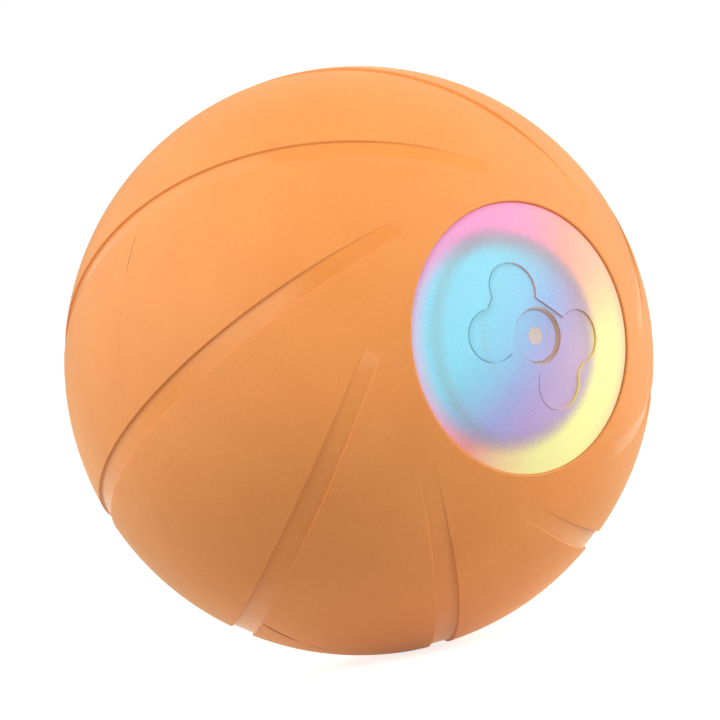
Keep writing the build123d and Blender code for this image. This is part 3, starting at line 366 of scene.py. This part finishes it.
# Round the window as a share of a turn: yellow at the right, then peach, pink, lilac, rose and yellow
RING_TONES = (
    (0.000, "#FFF4A0"), (0.055, "#FFD698"), (0.110, "#FFB894"), (0.170, "#FFA694"),
    (0.240, "#FF98BC"), (0.330, "#EC94C6"), (0.420, "#E2A6D4"), (0.520, "#EAC8EE"),
    (0.600, "#F6B6D6"), (0.655, "#F29C96"), (0.705, "#FAD8A0"), (0.760, "#FDF6A2"),
    (0.840, "#FFFCA2"), (1.000, "#FFF6A0"),
)
# Painted light and shade on the sunk figure's walls, by turn round the window
FIGURE_WALL_LIGHT_TONES = (
    (0.00, "#D8A94C"), (0.08, "#B87C50"), (0.20, "#B8706A"), (0.31, "#F07C82"),
    (0.42, "#8C86A2"), (0.58, "#566A80"), (0.68, "#8A7C8C"), (0.80, "#EEDD5E"),
    (0.92, "#ECD050"), (1.00, "#D8A94C"),
)
# Painted light and shade on the button's bevel, by turn round the window
BUTTON_BEVEL_LIGHT_TONES = (
    (0.00, "#9E7424"), (0.10, "#A07830"), (0.18, "#B4947A"), (0.25, "#BEAEBA"),
    (0.38, "#A8BADA"), (0.50, "#8C98B4"), (0.62, "#98A0C4"), (0.78, "#A88C68"),
    (0.90, "#9C7230"), (1.00, "#9E7424"),
)


def window_place(s, side):
    """Places on a window's face, across to the right and up, as shares of its radius."""
    _, y, z = s.split(s.place)
    share = 1.0 / (WINDOW_FACE * MM)
    cos, sin = math.cos(WINDOW_TURN) * share, math.sin(WINDOW_TURN) * share
    across = s.minus(s.times(y, cos), s.times(z, sin))
    up = s.plus(s.times(y, sin), s.times(z, cos))
    if side < 0:
        across = s.times(across, -1.0)
    return across, up


def turn_share(s, across, up):
    """Angle round the window as a share of a turn: 0.25 is up, 0.5 left, 0.75 down."""
    turned = s.math("DIVIDE", s.math("ARCTAN2", up, across), 2 * math.pi)
    return s.math("FRACT", s.plus(turned, 1.0))


def middle_color(s, across, up, wobble):
    """The middle's colour, from blue at the upper left to lilac at the lower right."""
    run = s.minus(s.times(across, 0.85), s.times(up, 0.45))
    run = s.plus(s.span(run, -0.50, 0.50), s.times(wobble, 0.5))
    low = s.plus(s.times(up, -1.0), s.times(across, 0.25))
    color = s.mix(s.span(low, 0.18, 0.60, 0.0, 0.40), s.ramp(run, MIDDLE_TONES), "#B294DC")
    return s.mix(s.span(up, -0.1, 0.6, 0.0, 0.22), color, "#7FB4C6")


def dull_zones(s, color, across, up, radius, reach, wobble):
    """Lay the greyer zones over a window's colour."""
    # The band where middle and ring meet, and a wider and fainter one inside it at the upper right
    band = s.times(s.ease(reach, 0.62, 0.755), s.ease(reach, 0.87, 0.76),
                   s.span(across, -0.80, -0.50), s.span(up, 0.0, 0.7, 0.34, 0.62))
    color = s.mix(band, color, "#A08E9C")
    wide = s.times(s.ease(reach, 0.46, 0.66), s.ease(reach, 0.82, 0.70),
                   s.span(s.plus(across, up), 0.2, 0.9, 0.0, 0.46))
    color = s.mix(wide, color, "#B09082")
    # Two faint arcs on the left
    arc = s.plus(radius, s.times(wobble, 0.6))
    outer = s.times(s.ease(arc, 0.745, 0.835), s.ease(arc, 0.90, 0.84))
    inner = s.times(s.ease(arc, 0.40, 0.47), s.ease(arc, 0.53, 0.475), 0.40)
    arcs = s.times(s.math("MAXIMUM", outer, inner), s.ease(across, -0.12, -0.52), 0.27)
    color = s.mix(arcs, color, "#9C9690")
    # A dull peach rim on the right
    rim = s.times(s.span(radius, 0.84, 1.0), s.span(across, 0.45, 0.95), 0.75)
    return s.mix(rim, color, "#E6BFA0")


def figure(s, y, z):
    """Distance to the sunk figure's outline in millimetres, below zero inside it, and the distance
    from its middle along it."""
    cos, sin = math.cos(FIGURE_TURN), math.sin(FIGURE_TURN)
    y, z = s.times(y, 1 / MM), s.times(z, 1 / MM)
    length = s.math("ABSOLUTE", s.plus(s.times(y, cos), s.times(z, sin)))
    width = s.math("ABSOLUTE", s.minus(s.times(z, cos), s.times(y, sin)))
    lobe = s.hypot(s.minus(length, LOBE_REACH), s.minus(width, LOBE_RISE))
    shaft = s.math("MAXIMUM", s.minus(length, SHAFT_HALF_LENGTH), s.minus(width, SHAFT_HALF_WIDTH))
    return s.math("MINIMUM", s.minus(lobe, LOBE_RADIUS), shaft), length


def outline(s, color, across, up, side):
    """Paint the sunk figure's edge: painted shade along its left sides, and a painted yellow highlight
    along its right ones low down. Which side a place is on comes from a second distance, taken a little
    to its left."""
    _, y, z = s.split(s.place)
    gap, length = figure(s, y, z)
    beside, _ = figure(s, s.minus(y, side * EDGE_PROBE * MM), z)
    past_button = s.span(length, 2.4, 2.8)
    # Painted shade line along the left sides
    painted_shade_share = s.times(s.ease(s.math("ABSOLUTE", gap), 0.15, 0.06), past_button,
                   s.span(s.minus(beside, gap), 0.02, 0.20), 0.90)
    color = s.mix(painted_shade_share, color, "#3F5F78")
    # Painted yellow highlight along the right sides, low down
    painted_glint = s.times(s.ease(s.math("ABSOLUTE", s.minus(gap, 0.12)), 0.22, 0.08),
                     s.span(s.minus(gap, beside), 0.02, 0.20), past_button,
                     s.span(up, 0.15, -0.15, 0.0, 0.75), s.span(across, 0.02, 0.20))
    return s.mix(painted_glint, color, "#E2CB5E")


def steep_faces(s, color, radius, turn):
    """Painted light and shade on the sunk figure's walls and the button's hole, which catch the light
    from
    the opposite side: colours by turn round the window, and a stronger painted glow."""
    outward = s.add("VectorMath", operation="NORMALIZE")
    s.feed(s.place, outward.inputs[0])
    facing = s.dot(s.add("NewGeometry").outputs["Normal"], outward.outputs[0])
    hole = s.mix(s.span(facing, 0.55, 0.35), s.ramp(turn, BUTTON_BEVEL_LIGHT_TONES), "#CDA894")
    wall = s.mix(s.span(radius, 0.235, 0.225), s.ramp(turn, FIGURE_WALL_LIGHT_TONES), hole)
    steep = s.times(s.span(s.math("ABSOLUTE", facing), 0.86, 0.60), s.span(radius, 0.74, 0.70))
    color = s.mix(steep, color, wall)
    # Painted glow: the steep faces shine about four times as strongly
    return color, s.mix(steep, color, s.mix(1.0, wall, (4.0, 4.0, 3.0), "MULTIPLY"))


def lit_window(name, side, sunk_figure=True):
    """Frosted plastic lit from inside: a blue to lilac middle and a pink to yellow ring."""
    s = Shade(name)
    across, up = window_place(s, side)
    radius = s.hypot(across, up)
    turn = turn_share(s, across, up)
    wobble = s.times(s.minus(s.noise(0.30, 2.0, 0.8), 0.5), 0.10)
    # The middle lies to the left, and a pink verge runs round it there
    reach = s.plus(s.hypot(s.plus(across, 0.22), s.plus(up, 0.03)), wobble)
    verge = s.times(s.span(radius, 0.89, 1.0), s.span(across, -0.3, -0.7, 0.0, 0.9))
    outside = s.math("MAXIMUM", s.ease(reach, 0.69, 0.835), verge)
    color = s.mix(outside, middle_color(s, across, up, wobble), s.ramp(turn, RING_TONES))
    color = dull_zones(s, color, across, up, radius, reach, wobble)
    # Frosting: fine light and dark grains
    frost = s.noise(0.17, 1.0, 0.8)
    color = s.mix(s.span(frost, 0.50, 0.78, 0.0, 0.20), color, (1.0, 0.96, 0.96))
    color = s.mix(s.span(frost, 0.50, 0.22, 0.0, 0.26), color, (0.33, 0.36, 0.50))
    shine = color
    if sunk_figure:
        color = outline(s, color, across, up, side)
        color, shine = steep_faces(s, color, radius, turn)
    s.set(Base_Color=color, Emission_Color=shine, Emission_Strength=WINDOW_GLOW)
    s.set(Roughness=s.span(frost, 0.3, 0.7, 0.40, 0.56), Specular_IOR_Level=0.35)
    s.set(Normal=s.bump(frost, 0.010))
    return s


finishes["light_frost"] = lit_window("light_frost", 1)
finishes["button_frost"] = lit_window("button_frost", 1, sunk_figure=False)
left_window = lit_window("light_frost_left", -1)


def paint(obj, shade):
    obj.data.materials.clear()
    obj.data.materials.append(shade.mat)


for item in frame["record"]["subparts"]:
    paint(nodes[item["node"]], finishes[item["material_slot"]])
paint(nodes["left_light_cap"], left_window)

# Soft covers, in millimetres: the CAD covers' grooves with rounded edges and softer ends. Each groove
# is a band about a tilted great circle, and FIRST is the first one's turn about the roll axis. In
# degrees along its circle, a groove starts at START and has its full depth at FULL.
BALL = 39.99
INNER = 37.4
GROOVES = 8
TILT = math.radians(29.2)
FIRST = math.radians(3.9)
HALF_WIDTH = 1.55
START, FULL = 18.2, 44.0
END_DEPTH, DEPTH, DEPTH_POWER = 0.03, 0.36, 1.4
# A groove's wall starts a little outside its half width and spreads inward. Its depth and its smooth
# floor fade in over these degrees, from a little before its start.
WALL_OUTSET, WALL_SPREAD = 0.06, 0.14
FADE_EARLY, DEPTH_FADE, LEVEL_FADE = 0.5, 1.1, 2.4
# Painted shade at the foot of a groove's wall, as a share
FOOT_SHADE = 0.12
# One side of a groove draws in by this much between these polar angles
NARROWING = 0.65
NARROW_FROM, NARROW_RUN = math.radians(56.0), math.radians(26.0)
# Offsets of the mesh's columns from a groove's middle, the offset from which they draw in fully, and
# how many columns lie between grooves
EDGE_COLUMNS = np.array((1.74, 1.66, 1.61, 1.565, 1.52, 1.47, 1.42, 1.34, 1.00, 0.36))
DRAWN_IN_FROM = 1.12
LAND_COLUMNS = 38
LEAN_LIMIT = -0.88
# The window's hole, its rounded lip, and the painted shade of its wall's rows, from inside out, on the
# side
# that this direction points to: the gap's shadow, painted in. The painted shade fades in along that
# direction.
WINDOW = 18.19
LIP = 0.2
PAINTED_SHADE_ROWS = (1.0, 1.0, 0.6, 0.4, 0.1)
DARK_Y, DARK_Z = 0.906, 0.423
DARK_FROM, DARK_RUN = -0.35, 0.5
# The seam's edge: its drop, how far from the seam that reaches, and the drop from which painted shade
# darkens the gap
BEVEL = 0.02
BEVEL_REACH, BEVEL_SLOPE = 0.02, 0.45
SEAM_DARK_FROM, SEAM_DARK_RUN = 0.03, 0.04
SEAM_START = 0.2
SEAM_ROWS = (0.17, 0.14, 0.115, 0.09, 0.07, 0.05, 0.035, 0.02, 0.01, 0.004, 0.0)
# Where the halves stand apart a little: middle and half width in degrees, and drop
SEAM_GAPS = ((236.0, 6.5, 0.50), (246.8, 4.4, 0.28), (148.0, 6.0, 0.13))
# Rows of the closed section: the window's wall by shares of its length, and the others by count
WALL_ROWS, LIP_ROWS, FACE_ROWS, INNER_ROWS = (0.0, 0.3, 0.65, 0.95), 7, 150, 16
SMOOTH_ROW, FACE_ROW, SEAM_ROW = range(3)


def smooth(x):
    x = np.clip(x, 0.0, 1.0)
    return x * x * (3 - 2 * x)


def narrowing(theta):
    """How much one side of a groove draws in towards its end, by polar angle."""
    return NARROWING * smooth((NARROW_FROM - theta) / NARROW_RUN)


def sink(directions):
    """How deep the grooves lie under the ball's face, how near the foot of a groove's wall is, and
    how fully a place lies on a groove's floor."""
    depth, foot, level = (np.zeros(len(directions)) for _ in range(3))
    for index in range(GROOVES):
        turn = FIRST + 2 * math.pi * index / GROOVES
        nearest = np.array((
            math.cos(TILT), math.sin(TILT) * math.sin(turn), -math.sin(TILT) * math.cos(turn)))
        crossing = np.array((0.0, math.cos(turn), math.sin(turn)))
        off = directions @ np.cross(nearest, crossing) * BALL
        drawn_in = narrowing(np.arccos(np.abs(directions[:, 0])))
        off = np.abs(off) + np.where(off * directions[:, 0] > 0, drawn_in, 0.0)
        along = np.degrees(np.arctan2(directions @ crossing, directions @ nearest))
        along = np.where(along > 90, 180 - along, along)
        share = np.clip((along - START) / (FULL - START), 0.0, 1.0)
        floor_depth = END_DEPTH + (DEPTH - END_DEPTH) * share ** DEPTH_POWER
        down = (HALF_WIDTH + WALL_OUTSET - off) / WALL_SPREAD
        past_end = along - START + FADE_EARLY
        depth = np.maximum(depth, floor_depth * smooth(down) * smooth(past_end / DEPTH_FADE))
        foot = np.maximum(foot, share * smooth(1 - np.abs(down - 0.95) / 0.55))
        level = np.maximum(level, smooth(down * 1.3 - 0.3) * smooth(past_end / LEVEL_FADE))
    return depth, foot, level


def seam_edge(azimuth):
    """How deep the seam's edge falls away, which is more where the halves stand apart a little."""
    depth = np.full(len(azimuth), BEVEL)
    for middle, half, size in SEAM_GAPS:
        off = (np.degrees(azimuth) - middle + 180.0) % 360.0 - 180.0
        depth = np.maximum(depth, size * smooth(1.3 * (1 - np.abs(off) / half)))
    return depth


def columns(theta):
    """Azimuths of the mesh's columns at a polar angle: they run along the grooves' edges."""
    offsets = np.concatenate((-EDGE_COLUMNS, EDGE_COLUMNS[::-1]))
    nudge = 0.001

    def lean(angle):
        moved = offsets - narrowing(angle) * np.clip(offsets / DRAWN_IN_FROM, 0.0, 1.0)
        return (moved / BALL - math.sin(TILT) * np.cos(angle)) / (math.cos(TILT) * np.sin(angle))

    # Nearer the pole than the lean's limit, which bisection finds, a column goes on in a straight line
    low = np.full(len(offsets), TILT * 0.9)
    high = np.full(len(offsets), math.pi / 2)
    for _ in range(40):
        middle = (low + high) / 2
        low = np.where(lean(middle) < LEAN_LIMIT, middle, low)
        high = np.where(lean(middle) < LEAN_LIMIT, high, middle)
    slope = (lean(high + nudge) - lean(high - nudge)) / (2 * nudge) / math.sqrt(1 - LEAN_LIMIT ** 2)
    azimuth = np.where(
        theta >= high,
        np.arcsin(np.clip(lean(theta), LEAN_LIMIT, 1.0)),
        math.asin(LEAN_LIMIT) + slope * (theta - high),
    )
    step = 2 * math.pi / GROOVES
    land = azimuth[0] + step - azimuth[-1]
    between = [azimuth[-1] + land * (i + 1) / (LAND_COLUMNS + 1) for i in range(LAND_COLUMNS)]
    one = np.concatenate((azimuth, between))
    return np.concatenate([one + FIRST + step * index for index in range(GROOVES)])


def cover_rows():
    """Rows of a half cover's closed section, from the window's wall over the face to the seam and
    back inside: distance along the axis, distance from it, and kind. Also the face's first polar
    angle and the rows with a sharp edge."""
    lip_x = math.sqrt((BALL - LIP) ** 2 - (WINDOW + LIP) ** 2)
    start = math.atan2(WINDOW + LIP, lip_x)
    wall_x = math.sqrt(INNER ** 2 - WINDOW ** 2)
    rows = [(wall_x + (lip_x - wall_x) * share, WINDOW, SMOOTH_ROW) for share in WALL_ROWS]
    for index in range(LIP_ROWS):
        turn = -math.pi / 2 + (start + math.pi / 2) * index / LIP_ROWS
        rows.append((lip_x + LIP * math.cos(turn), WINDOW + LIP + LIP * math.sin(turn), SMOOTH_ROW))
    last = math.pi / 2 - SEAM_START / BALL
    for index in range(FACE_ROWS + 1):
        theta = start + (last - start) * index / FACE_ROWS
        rows.append((BALL * math.cos(theta), BALL * math.sin(theta), FACE_ROW))
    rows += [(x, BALL, SEAM_ROW) for x in SEAM_ROWS]
    seam_row = len(rows) - 1
    rows += [(0.0, (BALL + INNER) / 2, SMOOTH_ROW), (0.0, INNER, SMOOTH_ROW)]
    inner_row = len(rows) - 1
    inner_start = math.asin(WINDOW / INNER)
    for index in range(1, INNER_ROWS):
        theta = math.pi / 2 + (inner_start - math.pi / 2) * index / INNER_ROWS
        rows.append((INNER * math.cos(theta), INNER * math.sin(theta), SMOOTH_ROW))
    return rows, start, (0, seam_row, inner_row)


def cover_points(rows, start, side):
    """Points of each row of a half cover, with its two marks: groove floor and painted shade."""
    points, floors, painted_shades = [], [], []
    for index, (x, ring, kind) in enumerate(rows):
        azimuth = columns(max(math.atan2(ring, x), start))
        if side < 0:
            azimuth = 2 * FIRST - azimuth
        row = np.stack((np.full(len(azimuth), x), ring * np.cos(azimuth), ring * np.sin(azimuth)), 1)
        row[:, 0] *= side
        if kind == SMOOTH_ROW:
            # Painted shade on one side of the window's wall, for the shadow in the gap
            shaded = side * np.cos(azimuth) * DARK_Y + np.sin(azimuth) * DARK_Z
            painted_shade_share = PAINTED_SHADE_ROWS[index] if index < len(PAINTED_SHADE_ROWS) else 0.0
            floors.append(np.zeros(len(row)))
            painted_shades.append(painted_shade_share * smooth((shaded - DARK_FROM) / DARK_RUN))
            points.append(row)
            continue
        reach = np.linalg.norm(row, axis=1)
        directions = row / reach[:, None]
        depth, foot, level = sink(directions)
        if kind == SEAM_ROW:
            fall = seam_edge(azimuth)
            drop = fall * smooth(1 - x / (BEVEL_REACH + BEVEL_SLOPE * fall))
            sunk = np.minimum(BALL - drop, np.sqrt((BALL - depth) ** 2 - x * x))
            row[:, 1:] *= (sunk / ring)[:, None]
            # Painted shade in the seam's gaps, where the halves stand apart
            painted_shades.append(smooth((drop - SEAM_DARK_FROM) / SEAM_DARK_RUN))
        else:
            row = directions * np.minimum(reach, BALL - depth)[:, None]
            # Painted shade at the foot of the grooves' walls
            painted_shades.append(foot * FOOT_SHADE)
        floors.append(level)
        points.append(row)
    return points, floors, painted_shades


def half_cover(name, side):
    """A half's soft cover as a closed mesh with its two marks, and with sharp edges at its rims."""
    rows, start, sharp_rows = cover_rows()
    points, floors, painted_shades = cover_points(rows, start, side)
    total, across = len(rows), len(points[0])
    verts = np.concatenate(points) * MM
    r, c = np.meshgrid(np.arange(total), np.arange(across), indexing="ij")
    r2, c2 = (r + 1) % total, (c + 1) % across
    quads = np.stack((r * across + c, r * across + c2, r2 * across + c2, r2 * across + c), -1)
    quads = quads.reshape(-1, 4)
    mesh = bpy.data.meshes.new(name)
    mesh.from_pydata(verts.tolist(), [], quads.tolist())
    mesh.update()
    a, b, d, e = (verts[quads[:, i]] for i in range(4))
    volume = sum(np.einsum("ij,ij->i", a, np.cross(*pair)).sum() for pair in ((b, d), (d, e)))
    if volume < 0:
        mesh.flip_normals()
    mesh.shade_smooth()
    ends = np.empty(len(mesh.edges) * 2, dtype=np.int32)
    mesh.edges.foreach_get("vertices", ends)
    row_of = ends.reshape(-1, 2) // across
    sharp = (row_of[:, 0] == row_of[:, 1]) & np.isin(row_of[:, 0], sharp_rows)
    layer = mesh.attributes.get("sharp_edge") or mesh.attributes.new("sharp_edge", "BOOLEAN", "EDGE")
    layer.data.foreach_set("value", sharp)
    for key, values in (("groove_floor", floors), ("painted_shade", painted_shades)):
        mark = mesh.attributes.new(key, "FLOAT", "POINT")
        mark.data.foreach_set("value", np.concatenate(values))
    obj = bpy.data.objects.new(name, mesh)
    scene.collection.objects.link(obj)
    paint(obj, finishes["cover_rubber"])
    return obj


for side, half, node in ((1, "right_half", "right_cover"), (-1, "left_half", "left_cover")):
    cover = half_cover(node + "_soft", side)
    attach(cover, half)
    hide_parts(node)

# Floor, in metres
FLOOR_HEIGHT = -0.0401
FLOOR_REACH = 14.0
FLOOR_STEPS = 28
MAT_EDGE, MAT_FADE = 0.042, 0.058


def studio_floor():
    """Pale floor with a whiter mat under the ball. It reads white and keeps a soft shadow, and gloss
    sees it glow warmly behind the ball."""
    s = Shade("floor_white")
    path = s.add("LightPath")
    glossy = path.outputs["Is Glossy Ray"]
    mirrored = s.times(glossy, s.ease(s.dot(s.place, view_back), 0.034, -0.002, 0.0, 0.8))
    seen = s.math("MAXIMUM", path.outputs["Is Camera Ray"],
                  s.math("MAXIMUM", mirrored, path.outputs["Is Transmission Ray"]))
    away = s.add("VectorMath", operation="LENGTH")
    s.feed(s.place, away.inputs[0])
    mat = s.ease(away.outputs["Value"], MAT_EDGE, MAT_FADE, 1.0, 0.0)
    pale = s.mix(mat, (0.42, 0.42, 0.42), (0.85, 0.85, 0.85))
    s.set(Base_Color=s.mix(s.times(s.noise(40.0, 3.0), 0.04), pale, (0.5, 0.5, 0.5)), Roughness=0.9)
    s.set(Specular_IOR_Level=0.0, Emission_Strength=s.times(seen, 0.76))
    s.set(Emission_Color=s.mix(glossy, (1.0, 1.0, 1.0), (1.0, 0.70, 0.46)))
    return s


line = FLOOR_STEPS + 1
grid = np.linspace(-FLOOR_REACH, FLOOR_REACH, line)
corners = [i * line + j for i in range(FLOOR_STEPS) for j in range(FLOOR_STEPS)]
floor_mesh = bpy.data.meshes.new("floor")
floor_mesh.from_pydata(
    [(x, y, FLOOR_HEIGHT) for x in grid for y in grid],
    [],
    [(corner, corner + line, corner + line + 1, corner + 1) for corner in corners],
)
floor = bpy.data.objects.new("floor", floor_mesh)
scene.collection.objects.link(floor)
paint(floor, studio_floor())


class Sky(Shade):
    """The studio's light by fixed directions, as brightness."""

    def __init__(self, tree):
        self.tree = tree
        self.place = self.add("TexCoord").outputs["Generated"]


SKY_LEVEL = 0.32
world = bpy.data.worlds.new("studio")
scene.world = world
world.use_nodes = True
sky = Sky(world.node_tree)
right_of, up_of, back_of = (sky.dot(sky.place, axis) for axis in (view_right, view_up, view_back))

# Soft light for matt surfaces: brighter at both sides, most at the right, and weaker in front and behind
from_behind = sky.math("MINIMUM", back_of, 0.0)
soft = sky.plus(sky.times(up_of, 0.04), SKY_LEVEL)
for part, weight in (
    (sky.times(right_of, right_of), 1.50),
    (sky.math("MAXIMUM", right_of, 0.0), 1.28),
    (sky.math("MINIMUM", right_of, 0.0), -0.17),
    (sky.math("MAXIMUM", back_of, 0.0), -0.17),
    (sky.times(from_behind, from_behind), -0.40),
):
    soft = sky.plus(soft, sky.times(part, weight))

# White cards that gloss sees: at the left, right and back, and one in front, a little low
left_card = sky.times(sky.ease(right_of, -0.30, -0.52), sky.span(up_of, -0.25, 0.20, 0.30, 2.1),
                      sky.span(back_of, -0.5, 0.4, 0.5, 1.0))
right_card = sky.ease(right_of, 0.46, 0.64, 0.0, 0.30)
back_card = sky.ease(back_of, -0.28, -0.44, 0.0, 0.34)
beside = sky.math("ABSOLUTE", sky.plus(right_of, 0.08))
above = sky.math("ABSOLUTE", sky.plus(up_of, 0.15))
front_card = sky.times(sky.ease(beside, 0.36, 0.26), sky.ease(above, 0.44, 0.30),
                       sky.span(back_of, 0.5, 0.6, 0.0, 2.8))
cards = sky.math("MAXIMUM", sky.math("MAXIMUM", left_card, right_card),
                 sky.math("MAXIMUM", back_card, front_card))

# The camera and clear pieces see plain white
path = sky.add("LightPath")
glossy = path.outputs["Is Glossy Ray"]
seen = sky.math("MAXIMUM", path.outputs["Is Camera Ray"], path.outputs["Is Transmission Ray"])
level = sky.mix_number(glossy, soft, sky.plus(cards, 0.03))
background = world.node_tree.nodes["Background"]
sky.feed(sky.mix(glossy, (1.0, 1.0, 1.0), (1.0, 0.90, 0.80)), background.inputs["Color"])
sky.feed(sky.mix_number(seen, level, 1.0), background.inputs["Strength"])


def studio(right, up, back):
    """A place in the camera's own directions at rest, in metres."""
    return tuple(view_right * right + view_up * up + view_back * back)


def lamp(name, place, size, power, aim=(0.0, 0.0, 0.0)):
    data = bpy.data.lights.new(name, "AREA")
    data.shape = "DISK"
    data.size = size
    data.energy = power
    obj = bpy.data.objects.new(name, data)
    scene.collection.objects.link(obj)
    obj.location = place
    obj.rotation_mode = "QUATERNION"
    obj.rotation_quaternion = (Vector(aim) - Vector(place)).to_track_quat("-Z", "Y")
    obj.visible_glossy = False


lamp("key_light", studio(-0.48, 0.78, 0.42), 0.26, 3.6)
lamp("side_light", studio(0.42, 0.0, 0.20), 0.2, 1.4, aim=(0.0, 0.0, -0.04))
lamp("rim_light", studio(0.50, 0.10, -0.50), 0.3, 1.2)
